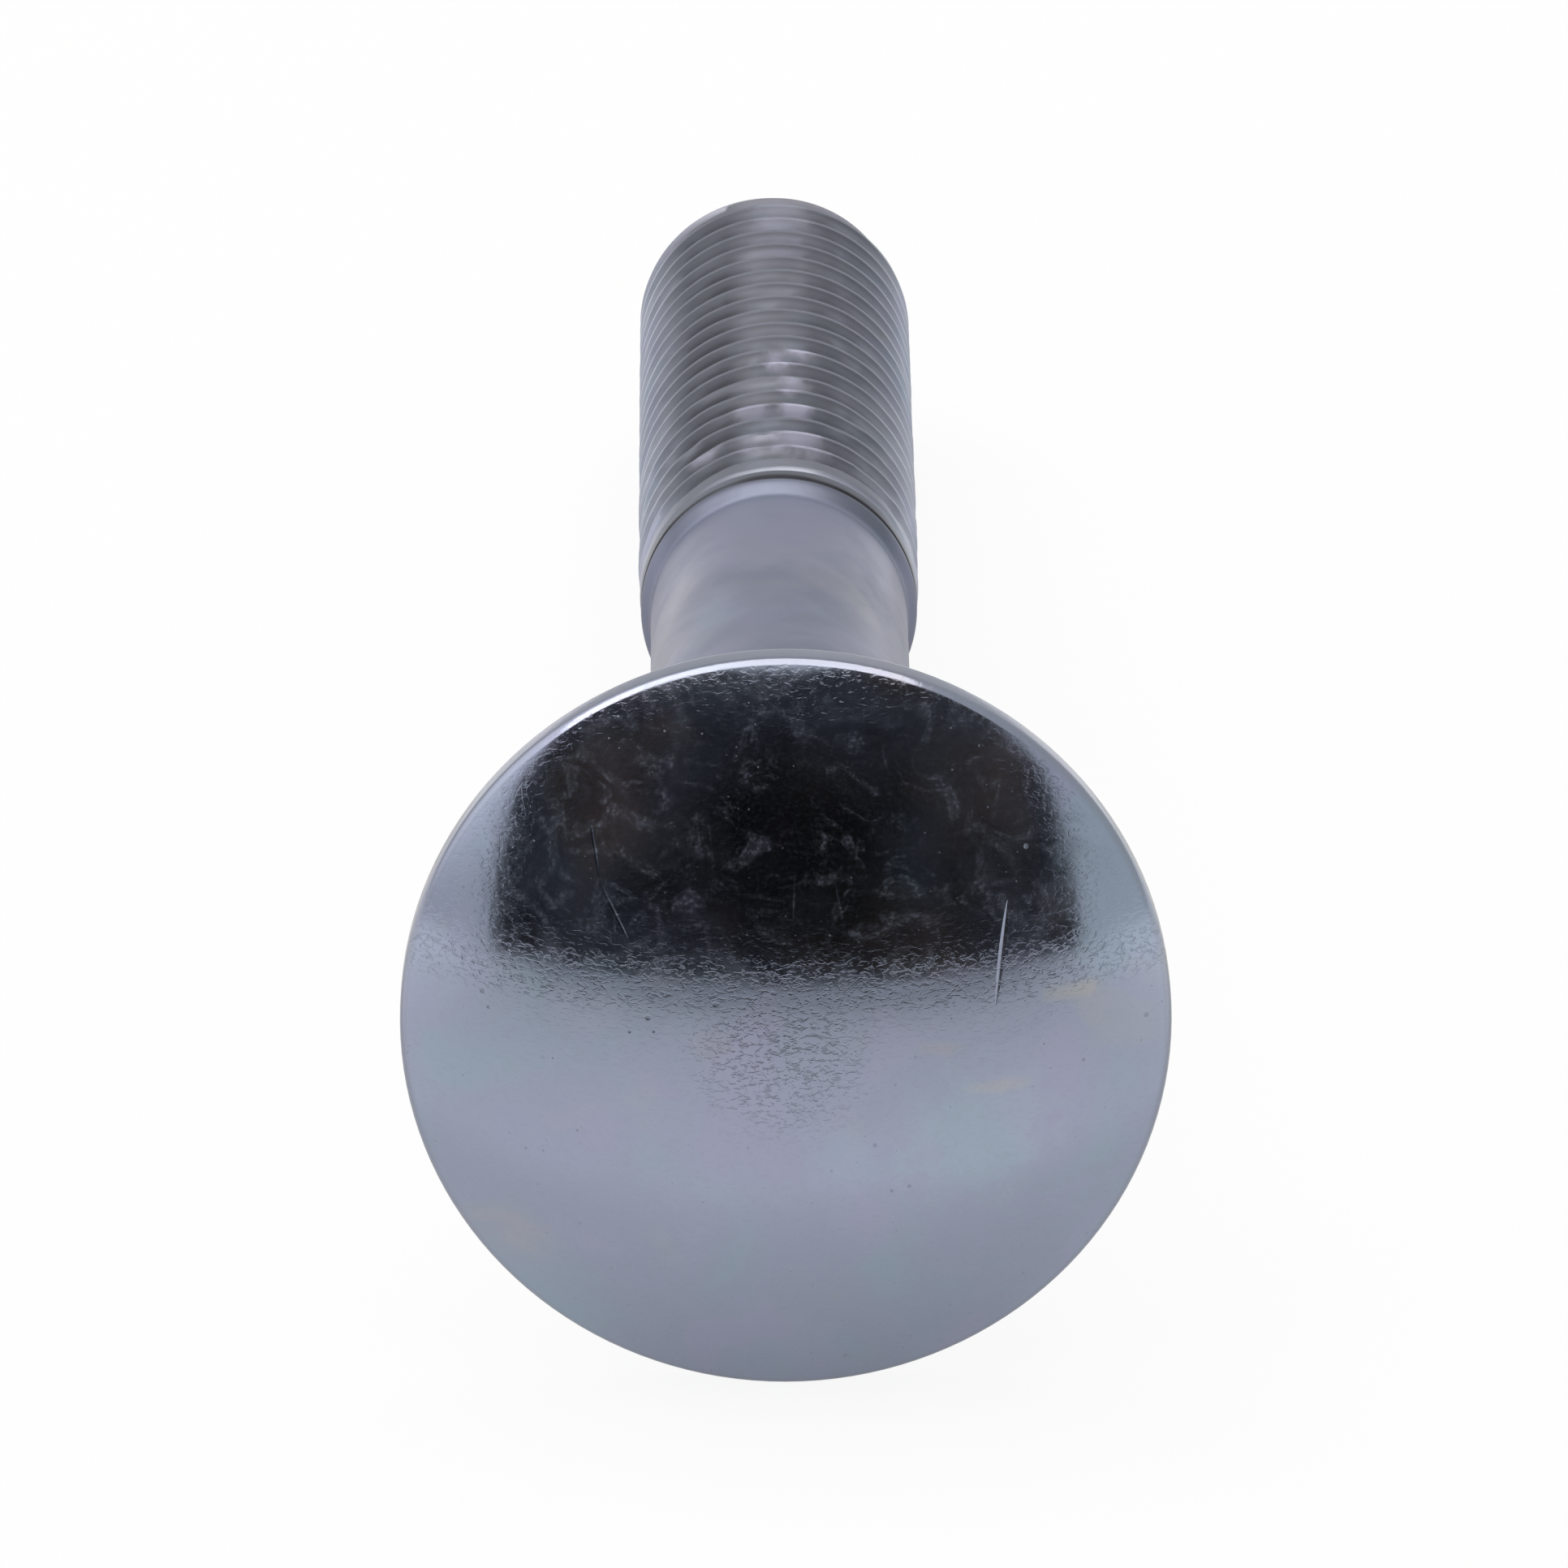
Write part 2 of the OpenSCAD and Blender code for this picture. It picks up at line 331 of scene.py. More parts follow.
def threadTree():
    tree, given, result = newGroup("rolledThread", threadInputs, {"Thread": "Geometry"}, "GeometryNodeTree")
    pitch, start, end = given["Pitch"], given["Start"], given["End"]
    circle = 2 * math.pi

    # A sheet whose rows follow the helix: it starts one pitch early, and is cut off square at both ends
    rowStep = calc(tree, "DIVIDE", pitch, given["Rings per Pitch"])
    reach = calc(tree, "ADD", calc(tree, "SUBTRACT", end, start), pitch)
    steps = calc(tree, "CEIL", calc(tree, "DIVIDE", reach, rowStep))
    sheetLength = calc(tree, "MULTIPLY", steps, rowStep)
    sheet = addNode(tree, "GeometryNodeMeshGrid", {
        "Size X": sheetLength, "Size Y": circle,
        "Vertices X": calc(tree, "ADD", steps, 1.0), "Vertices Y": calc(tree, "ADD", given["Segments"], 1.0),
    })
    place = addNode(tree, "ShaderNodeSeparateXYZ", {0: addNode(tree, "GeometryNodeInputPosition").outputs[0]})
    row = calc(tree, "SUBTRACT", calc(tree, "MULTIPLY_ADD", sheetLength, 0.5, place.outputs["X"]), pitch)
    turn = calc(tree, "ADD", place.outputs["Y"], math.pi)
    travel = calc(tree, "MULTIPLY_ADD", turn, calc(tree, "DIVIDE", pitch, circle), row)
    along = calc(tree, "MINIMUM", calc(tree, "MAXIMUM", calc(tree, "ADD", start, travel), start), end)

    # Distance from the nearest groove's middle, which is the same all along a row
    halfPitch = calc(tree, "MULTIPLY", pitch, 0.5)
    rowPhase = calc(tree, "SUBTRACT", calc(tree, "ADD", start, row), given["Phase"])
    spread = calc(tree, "PINGPONG", rowPhase, halfPitch)

    # The crests rise and the grooves deepen over the first turns
    fadeEnd = calc(tree, "ADD", start, given["Fade"])
    envelope = remap(tree, along, start, fadeEnd, given["Start Radius"], given["Crest Radius"], smooth=False)
    rolled = remap(tree, along, start, fadeEnd)
    fullDepth = calc(tree, "SUBTRACT", given["Crest Radius"], given["Root Radius"])
    cosTurn, sinTurn = calc(tree, "COSINE", turn), calc(tree, "SINE", turn)

    # Badly filled crests: patches where the metal didn't rise all the way
    cloud = addNode(tree, "ShaderNodeCombineXYZ", {
        "X": calc(tree, "MULTIPLY", cosTurn, 2.2), "Y": calc(tree, "MULTIPLY", sinTurn, 2.2),
        "Z": calc(tree, "MULTIPLY", along, 1 / (1.7 * mm)),
    })
    noise = addNode(tree, "ShaderNodeTexNoise", {
        "Vector": cloud.outputs[0], "W": given["Seed"], "Scale": 1.0, "Detail": 2.0, "Roughness": 0.5,
    }, noise_dimensions="4D")
    patch = remap(tree, noise.outputs[0], 0.44, 0.62)
    unevenEnd = calc(tree, "ADD", start, given["Uneven Reach"])
    patchWeight = remap(tree, along, start, unevenEnd, 1.0, 0.25, smooth=False)
    secondTurn = calc(tree, "MULTIPLY_ADD", pitch, 1.4, start)
    patchWeight = calc(tree, "MULTIPLY", patchWeight, remap(tree, along, start, secondTurn))
    lowered = calc(tree, "MULTIPLY", calc(tree, "MULTIPLY", patch, patchWeight), given["Unevenness"])
    crest = calc(tree, "SUBTRACT", envelope, lowered)

    # Section of the groove: a rounded root, a straight flank and a rounded crest
    slope = calc(tree, "TANGENT", given["Flank Angle"])
    pitchDepth = calc(tree, "SUBTRACT", given["Shank Radius"], given["Root Radius"])
    rootHalf = calc(tree, "SUBTRACT", calc(tree, "MULTIPLY", pitch, 0.25), calc(tree, "DIVIDE", pitchDepth, slope))
    bottom = calc(tree, "SUBTRACT", envelope, calc(tree, "MULTIPLY", fullDepth, rolled))
    flank = calc(tree, "MULTIPLY_ADD", calc(tree, "SUBTRACT", spread, rootHalf), slope, bottom)
    groove = calc(tree, "SMOOTH_MAX", flank, bottom, given["Root Round"])
    section = calc(tree, "SMOOTH_MIN", groove, crest, given["Crest Round"])
    rowStart = remap(tree, along, start, calc(tree, "ADD", start, halfPitch))
    radius = calc(tree, "MULTIPLY_ADD", calc(tree, "SUBTRACT", section, envelope), rowStart, envelope)

    # The chamfer cuts the thread back at the end
    left = calc(tree, "SUBTRACT", end, along)
    chamferSlope = calc(tree, "DIVIDE", calc(tree, "SUBTRACT", given["Crest Radius"], given["Tip Radius"]),
                        given["Chamfer"])
    cone = calc(tree, "MULTIPLY_ADD", left, chamferSlope, given["Tip Radius"])
    rounding = remap(tree, left, 0.0, given["Chamfer"], 0.0, given["Chamfer Round"], smooth=False)
    radius = calc(tree, "SMOOTH_MIN", radius, cone, rounding)

    point = addNode(tree, "ShaderNodeCombineXYZ", {
        "X": calc(tree, "MULTIPLY", radius, cosTurn), "Y": calc(tree, "MULTIPLY", radius, sinTurn), "Z": along,
    })
    shaped = addNode(tree, "GeometryNodeSetPosition", {
        "Geometry": sheet.outputs["Mesh"], "Position": point.outputs[0],
    })
    joined = addNode(tree, "GeometryNodeMergeByDistance", {"Geometry": shaped.outputs[0], "Distance": 0.0005 * mm})
    real = addNode(tree, "GeometryNodeRealizeInstances", {"Geometry": joined.outputs[0]})
    dressed = addNode(tree, "GeometryNodeSetMaterial", {"Geometry": real.outputs[0], "Material": given["Material"]})
    feed(tree, result["Thread"], dressed.outputs[0])
    return tree


def rolledThread(start, startRadius, material):
    holder = bpy.data.objects.new("threadHolder", bpy.data.meshes.new("threadHolder"))
    bpy.context.scene.collection.objects.link(holder)
    tree = threadTree()
    modifier = holder.modifiers.new("rolledThread", "NODES")
    modifier.node_group = tree
    values = {
        "Pitch": threadSize["pitch"], "Crest Radius": threadSize["crestRadius"],
        "Root Radius": threadSize["rootRadius"], "Shank Radius": boltSize["shankRadius"],
        "Start": start, "Start Radius": startRadius, "End": boltSize["length"],
        "Fade": threadSize["start"] + threadSize["fade"] - start, "Chamfer": threadSize["chamfer"],
        "Tip Radius": threadSize["tipRadius"], "Phase": threadSize["phase"],
        "Flank Angle": threadSize["flankAngle"], "Root Round": threadSize["rootRound"],
        "Crest Round": threadSize["crestRound"], "Chamfer Round": threadSize["chamferRound"],
        "Unevenness": threadSize["unevenness"], "Uneven Reach": threadSize["unevenReach"],
        "Rings per Pitch": threadSize["ringsPerPitch"], "Segments": boltSize["segments"],
        "Seed": threadSize["seed"], "Material": material,
    }
    for item in tree.interface.items_tree:
        if item.in_out == "INPUT":
            modifier[item.identifier] = values[item.name]
    bpy.context.view_layer.update()
    mesh = bpy.data.meshes.new_from_object(holder.evaluated_get(bpy.context.evaluated_depsgraph_get()))
    holder.modifiers.clear()
    bpy.data.objects.remove(holder)
    return mesh


# Effects that the materials share

def boltCoordinates(tree):
    # The bolt's own frame, in millimetres
    place = addNode(tree, "ShaderNodeTexCoord").outputs["Object"]
    mapping = addNode(tree, "ShaderNodeMapping", {"Vector": place}, vector_type="TEXTURE")
    mapping.inputs["Location"].default_value = lieAt
    mapping.inputs["Rotation"].default_value = (lieTurn, 0.0, 0.0)
    mapping.inputs["Scale"].default_value = (mm, mm, mm)
    return mapping.outputs[0]


def scratchGroup():
    # Short, slightly bent scratches, one to a cell, each turned its own way within the spread
    tree, given, result = newGroup("shortScratches", {
        "Vector": "Vector", "Cell": "Float", "Length": "Float", "Width": "Float", "Share": "Float", "Seed": "Float",
        "Spread": "Float",
    }, {"Mask": "Float"})
    offset = addNode(tree, "ShaderNodeCombineXYZ", {"X": given["Seed"], "Y": given["Seed"]})
    shrink = calc(tree, "DIVIDE", 1.0, given["Cell"])
    scaled = addNode(tree, "ShaderNodeVectorMath", {0: given["Vector"], "Scale": shrink}, operation="SCALE")
    flat = vectorCalc(tree, "ADD", scaled.outputs[0], offset.outputs[0])
    cell = addNode(tree, "ShaderNodeTexVoronoi", {"Vector": flat, "Scale": 1.0}, voronoi_dimensions="2D")
    dice = addNode(tree, "ShaderNodeSeparateColor", {0: cell.outputs["Color"]})
    local = vectorCalc(tree, "SUBTRACT", flat, cell.outputs["Position"])
    angle = calc(tree, "MULTIPLY", calc(tree, "SUBTRACT", dice.outputs[0], 0.5), given["Spread"])
    turned = addNode(tree, "ShaderNodeVectorRotate", {"Vector": local, "Angle": angle}, rotation_type="Z_AXIS")
    axes = addNode(tree, "ShaderNodeSeparateXYZ", {0: turned.outputs[0]})
    bend = calc(tree, "MULTIPLY_ADD", dice.outputs[1], 2.4, -0.9)
    bow = calc(tree, "MULTIPLY", calc(tree, "POWER", axes.outputs["X"], 2.0), bend)
    across = calc(tree, "ABSOLUTE", calc(tree, "ADD", bow, axes.outputs["Y"]))
    ends = calc(tree, "MULTIPLY", given["Length"], calc(tree, "MULTIPLY_ADD", dice.outputs[2], 0.3, 0.2))
    lengthMask = remap(tree, calc(tree, "ABSOLUTE", axes.outputs["X"]), ends, calc(tree, "MULTIPLY", ends, 0.3))
    widthMask = remap(tree, across, given["Width"], 0.0)
    chosen = calc(tree, "LESS_THAN", dice.outputs[1], given["Share"])
    strength = calc(tree, "MULTIPLY_ADD", dice.outputs[2], 0.7, 0.3)
    mask = calc(tree, "MULTIPLY", calc(tree, "MULTIPLY", lengthMask, widthMask), calc(tree, "MULTIPLY", chosen, strength))
    feed(tree, result["Mask"], mask)
    return tree


def speckGroup():
    # Round specks and pits of many sizes
    tree, given, result = newGroup("platingSpecks", {
        "Vector": "Vector", "Cell": "Float", "Size": "Float", "Share": "Float",
    }, {"Mask": "Float"})
    shrink = calc(tree, "DIVIDE", 1.0, given["Cell"])
    cell = addNode(tree, "ShaderNodeTexVoronoi", {"Vector": given["Vector"], "Scale": shrink},
                   voronoi_dimensions="3D")
    dice = addNode(tree, "ShaderNodeSeparateColor", {0: cell.outputs["Color"]})
    size = calc(tree, "MULTIPLY", given["Size"], calc(tree, "MULTIPLY_ADD", dice.outputs[0], 0.8, 0.3))
    mask = remap(tree, cell.outputs["Distance"], size, calc(tree, "MULTIPLY", size, 0.4))
    chosen = calc(tree, "LESS_THAN", dice.outputs[1], given["Share"])
    feed(tree, result["Mask"], calc(tree, "MULTIPLY", mask, chosen))
    return tree


def tintGroup():
    # The faint colours of a passivated zinc coat, in large soft clouds
    tree, given, result = newGroup("platingTint", {
        "Vector": "Vector", "Base Color": "Color", "Lilac": "Color", "Teal": "Color", "Straw": "Color",
        "Cloud": "Float", "Strength": "Float",
    }, {"Color": "Color"})
    colour = given["Base Color"]
    for name, shift, low in (("Lilac", 0.0, 0.44), ("Teal", 7.0, 0.5), ("Straw", 13.0, 0.58)):
        moved = vectorCalc(tree, "ADD", given["Vector"], (shift, shift, shift))
        noise = addNode(tree, "ShaderNodeTexNoise", {
            "Vector": moved, "Scale": calc(tree, "DIVIDE", 1.0, given["Cloud"]), "Detail": 3.0, "Roughness": 0.55,
            "Distortion": 0.4,
        })
        share = calc(tree, "MULTIPLY", remap(tree, noise.outputs[0], low, low + 0.2), given["Strength"])
        colour = blendColours(tree, share, colour, given[name])
    feed(tree, result["Color"], colour)
    return tree


def hazeGroup():
    # Finger marks and dulled patches, as a roughness
    tree, given, result = newGroup("handlingHaze", {
        "Vector": "Vector", "Clear": "Float", "Dull": "Float", "Cloud": "Float",
    }, {"Roughness": "Float"})
    wide = addNode(tree, "ShaderNodeTexNoise", {
        "Vector": given["Vector"], "Scale": calc(tree, "DIVIDE", 1.0, given["Cloud"]), "Detail": 5.0,
        "Roughness": 0.65, "Distortion": 1.2,
    })
    share = remap(tree, wide.outputs[0], 0.42, 0.72)
    spread = calc(tree, "SUBTRACT", given["Dull"], given["Clear"])
    feed(tree, result["Roughness"], calc(tree, "MULTIPLY_ADD", share, spread, given["Clear"]))
    return tree


def smearGroup():
    # Thin smears of dust and grease: soft clouds broken up by a fine grain
    tree, given, result = newGroup("dustSmears", {
        "Vector": "Vector", "Cloud": "Float", "Grain": "Float", "Amount": "Float", "Everywhere": "Float",
    }, {"Mask": "Float"})
    wide = addNode(tree, "ShaderNodeTexNoise", {
        "Vector": given["Vector"], "Scale": calc(tree, "DIVIDE", 1.0, given["Cloud"]), "Detail": 6.0,
        "Roughness": 0.62, "Distortion": 2.2,
    })
    fine = addNode(tree, "ShaderNodeTexNoise", {
        "Vector": given["Vector"], "Scale": calc(tree, "DIVIDE", 1.0, given["Grain"]), "Detail": 3.0,
        "Roughness": 0.6,
    })
    cloud = remap(tree, wide.outputs[0], 0.49, 0.68)
    grain = remap(tree, fine.outputs[0], 0.46, 0.68)
    broken = calc(tree, "MULTIPLY", cloud, calc(tree, "MULTIPLY_ADD", grain, 0.75, 0.25))
    film = calc(tree, "MULTIPLY", broken, given["Amount"])
    feed(tree, result["Mask"], calc(tree, "MULTIPLY_ADD", grain, given["Everywhere"], film))
    return tree


def gougeGroup():
    # One long V-shaped scratch between two points, narrowing to both ends
    tree, given, result = newGroup("longScratch", {
        "Vector": "Vector", "From": "Vector", "To": "Vector", "Width": "Float",
    }, {"Depth": "Float"})
    run = vectorCalc(tree, "SUBTRACT", given["To"], given["From"])
    length = vectorCalc(tree, "LENGTH", run)
    direction = vectorCalc(tree, "NORMALIZE", run)
    local = vectorCalc(tree, "SUBTRACT", given["Vector"], given["From"])
    share = calc(tree, "DIVIDE", vectorCalc(tree, "DOT_PRODUCT", local, direction), length)
    side = vectorCalc(tree, "CROSS_PRODUCT", direction, (0.0, 0.0, 1.0))
    across = calc(tree, "ABSOLUTE", vectorCalc(tree, "DOT_PRODUCT", local, side))
    inside = calc(tree, "MINIMUM", calc(tree, "MAXIMUM", share, 0.0), 1.0)
    taper = calc(tree, "POWER", calc(tree, "SINE", calc(tree, "MULTIPLY", inside, math.pi)), 0.6)
    width = calc(tree, "MAXIMUM", calc(tree, "MULTIPLY", taper, given["Width"]), 0.0001)
    depth = calc(tree, "MAXIMUM", calc(tree, "SUBTRACT", 1.0, calc(tree, "DIVIDE", across, width)), 0.0)
    feed(tree, result["Depth"], calc(tree, "MULTIPLY", depth, taper))
    return tree


# Materials

headPlate = {
    "baseColor": (0.383, 0.425, 0.540, 1.0),
    "lilac": (0.431, 0.431, 0.580, 1.0),
    "teal": (0.364, 0.459, 0.552, 1.0),
    "straw": (0.470, 0.470, 0.500, 1.0),
    "tintStrength": 0.60,
    "tintCloud": 4.5,            # millimetres, as every size in these materials is
    "clear": 0.10,
    "dull": 0.19,
    "hazeCloud": 3.2,
    "waveHeight": 0.0024,
    "waveCloud": 1.6,
    "grainHeight": 0.0012,
    "grainCloud": 0.20,
    "smearCloud": 1.5,
    "smearGrain": 0.10,
    "smearAmount": 0.150,        # share of the metal that a smear covers
    "smearEverywhere": 0.013,
    "fleckDepth": 0.0046,        # small hammered-looking flecks, close together where the head is worn
    "fleckSize": (0.20, 0.11, 0.20),
    "fleckRough": 0.10,
    "scratchDepth": 0.0030,
    "scratchRough": 0.34,        # added to the roughness inside a scratch, a speck or a pit
    "pitDepth": 0.0050,
    "speckRough": 0.30,
    "wornAt": (-0.1, -0.1, -4.4),    # where short scratches are thickest
    "wornReach": 2.9,
    "bandAt": -2.2,              # and a band across the head that has many too
    "bandReach": 1.1,
    "strokes": (                 # cell, length and width as shares of the cell, share, seed, depth, spread of directions
        (0.33, 1.20, 0.060, 0.45, 5.0, 0.9, 2.4), (1.10, 1.20, 0.020, 0.70, 9.0, 0.7, 6.28),
        (0.62, 1.30, 0.028, 0.40, 14.0, 0.7, 3.6),
    ),
    "gouges": (                  # from, to, half width and depth
        ((5.75, -4.10, 0.0), (5.44, -1.40, 0.0), 0.085, 0.020),
        ((-5.08, -6.15, 0.0), (-4.83, -4.70, 0.0), 0.055, 0.008),
        ((-4.86, -4.72, 0.0), (-4.10, -3.30, 0.0), 0.055, 0.008),
        ((0.21, -5.10, 0.0), (0.17, -3.75, 0.0), 0.050, 0.005), ((1.28, -4.90, 0.0), (1.47, -3.85, 0.0), 0.050, 0.005),
    ),
    "stains": (                  # place across and along the head, reach both ways, colour, strength
        (5.0, 2.2, 2.9, 2.6, (0.410, 0.515, 0.610, 1.0), 0.50), (1.6, 2.6, 1.8, 1.3, (0.400, 0.500, 0.620, 1.0), 0.40),
        (7.4, -1.5, 0.9, 0.35, (0.520, 0.520, 0.450, 1.0), 0.40), (5.5, 0.8, 1.0, 0.30, (0.520, 0.500, 0.480, 1.0), 0.40),
        (4.0, -0.4, 0.9, 0.30, (0.480, 0.450, 0.480, 1.0), 0.40), (-1.9, -0.7, 0.8, 0.5, (0.440, 0.420, 0.470, 1.0), 0.25),
        (-6.4, 2.2, 3.0, 2.4, (0.410, 0.420, 0.560, 1.0), 0.50), (-5.2, -1.4, 1.6, 1.0, (0.440, 0.440, 0.580, 1.0), 0.45),
    ),
    "dents": (                   # place across and along the head, and size
        (-7.90, -1.45, 0.10), (-7.75, -1.05, 0.07), (-3.60, -1.30, 0.09), (-3.45, -0.95, 0.06),
        (-1.85, -1.75, 0.09), (2.30, 2.20, 0.08), (2.74, 3.60, 0.07), (3.20, 3.50, 0.08),
        (9.40, -0.40, 0.10), (7.75, 0.45, 0.07), (-5.45, 2.05, 0.06), (-6.80, 2.80, 0.05),
        (-6.35, 2.80, 0.05), (-5.40, 4.90, 0.06),
    ),
}

shankPlate = {
    "baseColor": (0.262, 0.276, 0.368, 1.0),
    # painted shade for the shoulder where the shank rises to the thread
    "shoulderShadeColor": (0.149, 0.162, 0.205, 1.0),
    "shoulderShadeSpread": (0.06, 0.50),   # where the shoulder's painted shade grows from its lighter middle to the side, as shares of the radius
    "tintStrength": 0.40,
    "tintCloud": 6.0,
    "clear": 0.33,
    "dull": 0.43,
    "shoulderDull": 0.12,        # added to the roughness where the shank rises to the thread
    "hazeCloud": 5.0,
    "waveHeight": 0.0020,
    "waveCloud": 1.4,
    "scratchDepth": 0.0030,
}

threadPlate = {
    "baseColor": (0.540, 0.570, 0.660, 1.0),
    "grooveShadeColor": (0.460, 0.474, 0.535, 1.0),
    "crestShadeColor": (0.215, 0.224, 0.266, 1.0),
    "crestDull": 0.14,
    "tipShadeColor": (0.400, 0.390, 0.450, 1.0),
    "tipDull": 0.20,
    "farLight": (57.9, 59.3, 0.62),  # from, to and share by which the last turns are less dull and shaded
    "startShadeColor": (0.100, 0.104, 0.121, 1.0),
    "paintedHighlightColor": (0.640, 0.630, 0.800, 1.0),
    "shineFilm": 0.40,               # how much of a bright spot is a pale film
    "shineSpots": (                  # place across and along, reach both ways, strength
        (0.75, 44.6, 0.60, 0.75, 0.75), (0.10, 43.5, 0.80, 0.75, 1.00), (0.35, 41.2, 0.65, 0.85, 0.75),
        (0.55, 39.0, 0.65, 0.80, 0.75), (0.60, 36.2, 1.15, 1.30, 0.65), (-0.80, 39.1, 0.60, 0.80, 0.45),
        (-0.80, 36.0, 0.80, 0.90, 0.40), (-2.10, 36.4, 0.60, 0.80, 0.30), (0.25, 57.3, 1.10, 1.90, 0.30),
    ),
    "shadeColor": (0.200, 0.212, 0.250, 1.0),
    "shadeBands": ((-0.52, 0.38, 0.90), (0.34, 0.16, 0.24)),     # place across as a share of the radius, reach, strength
    "tintStrength": 0.45,
    "tintCloud": 3.0,
    "clear": 0.37,
    "dull": 0.49,
    "hazeCloud": 2.5,
    "waveHeight": 0.0018,
    "waveCloud": 0.6,
}


def newMetal(name):
    material = bpy.data.materials.new(name)
    material.use_nodes = True
    tree = material.node_tree
    shader = tree.nodes["Principled BSDF"]
    shader.inputs["Metallic"].default_value = 1.0
    return material, tree, shader


def tintedPlate(tree, groups, place, look):
    return useGroup(tree, groups["tint"], {
        "Vector": place, "Base Color": look["baseColor"], "Lilac": headPlate["lilac"], "Teal": headPlate["teal"],
        "Straw": headPlate["straw"], "Cloud": look["tintCloud"], "Strength": look["tintStrength"],
    })["Color"]


def hazedPlate(tree, groups, place, look):
    return useGroup(tree, groups["haze"], {
        "Vector": place, "Clear": look["clear"], "Dull": look["dull"], "Cloud": look["hazeCloud"],
    })["Roughness"]


def waves(tree, place, cloud, height, detail=2.0):
    noise = addNode(tree, "ShaderNodeTexNoise", {
        "Vector": place, "Scale": 1.0 / cloud, "Detail": detail, "Roughness": 0.5,
    })
    return calc(tree, "MULTIPLY", noise.outputs[0], height)


def addBump(tree, shader, height):
    bump = addNode(tree, "ShaderNodeBump", {"Height": height, "Strength": 1.0, "Distance": mm})
    feed(tree, shader.inputs["Normal"], bump.outputs[0])


def scarMasks(tree, groups, place, look):
    # Everything that breaks the mirror of the head: masks with their depths and how much they roughen
    axes = addNode(tree, "ShaderNodeSeparateXYZ", {0: place})
    worn = addNode(tree, "ShaderNodeVectorMath", {0: place, 1: look["wornAt"]}, operation="DISTANCE")
    wornMask = remap(tree, worn.outputs["Value"], look["wornReach"], 0.8, 0.19, 1.0)
    fromBand = calc(tree, "ABSOLUTE", calc(tree, "SUBTRACT", axes.outputs["Y"], look["bandAt"]))
    wornMask = calc(tree, "MAXIMUM", wornMask, remap(tree, fromBand, look["bandReach"], 0.2, 0.0, 0.72))
    scaled = addNode(tree, "ShaderNodeMapping", {"Vector": place}, vector_type="TEXTURE")
    scaled.inputs["Scale"].default_value = look["fleckSize"]
    fine = addNode(tree, "ShaderNodeTexNoise", {
        "Vector": scaled.outputs[0], "Scale": 1.0, "Detail": 3.0, "Roughness": 0.6, "Distortion": 0.7,
    })
    flecks = calc(tree, "MULTIPLY", remap(tree, fine.outputs[0], 0.50, 0.66), wornMask)
    scars = [(flecks, look["fleckDepth"], look["fleckRough"])]
    for cell, length, width, share, seed, depth, spread in look["strokes"]:
        mask = useGroup(tree, groups["scratches"], {
            "Vector": place, "Cell": cell, "Length": length, "Width": width, "Share": share, "Seed": seed,
            "Spread": spread,
        })["Mask"]
        scars.append((calc(tree, "MULTIPLY", mask, wornMask), look["scratchDepth"] * depth, look["scratchRough"]))
    for cell, size, share, depth in ((0.24, 0.17, 0.26, 0.0), (0.9, 0.10, 0.14, 1.0)):
        mask = useGroup(tree, groups["specks"], {"Vector": place, "Cell": cell, "Size": size, "Share": share})["Mask"]
        scars.append((mask, look["pitDepth"] * depth, look["speckRough"]))
    for start, end, width, depth in look["gouges"]:
        mask = useGroup(tree, groups["gouge"], {"Vector": place, "From": start, "To": end, "Width": width})["Depth"]
        scars.append((mask, depth, 0.12))
    flat = addNode(tree, "ShaderNodeCombineXYZ", {"X": axes.outputs["X"], "Y": axes.outputs["Y"]}).outputs[0]
    for x, y, size in look["dents"]:
        away = addNode(tree, "ShaderNodeVectorMath", {0: flat, 1: (x, y, 0.0)}, operation="DISTANCE")
        scars.append((remap(tree, away.outputs["Value"], size, size * 0.3), look["pitDepth"], look["speckRough"]))
    return scars


def stainedColour(tree, place, colour, stains):
    # Soft stains with broken edges
    noise = addNode(tree, "ShaderNodeTexNoise", {"Vector": place, "Scale": 1.1, "Detail": 5.0, "Roughness": 0.65})
    broken = calc(tree, "MULTIPLY_ADD", noise.outputs[0], 1.6, -0.8)
    for x, y, reachX, reachY, tone, strength in stains:
        near = addNode(tree, "ShaderNodeMapping", {"Vector": place}, vector_type="TEXTURE")
        near.inputs["Location"].default_value = (x, y, -3.0)
        near.inputs["Scale"].default_value = (reachX, reachY, 20.0)
        away = calc(tree, "ADD", vectorCalc(tree, "LENGTH", near.outputs[0]), broken)
        colour = blendColours(tree, calc(tree, "MULTIPLY", remap(tree, away, 1.0, 0.2), strength), colour, tone)
    return colour


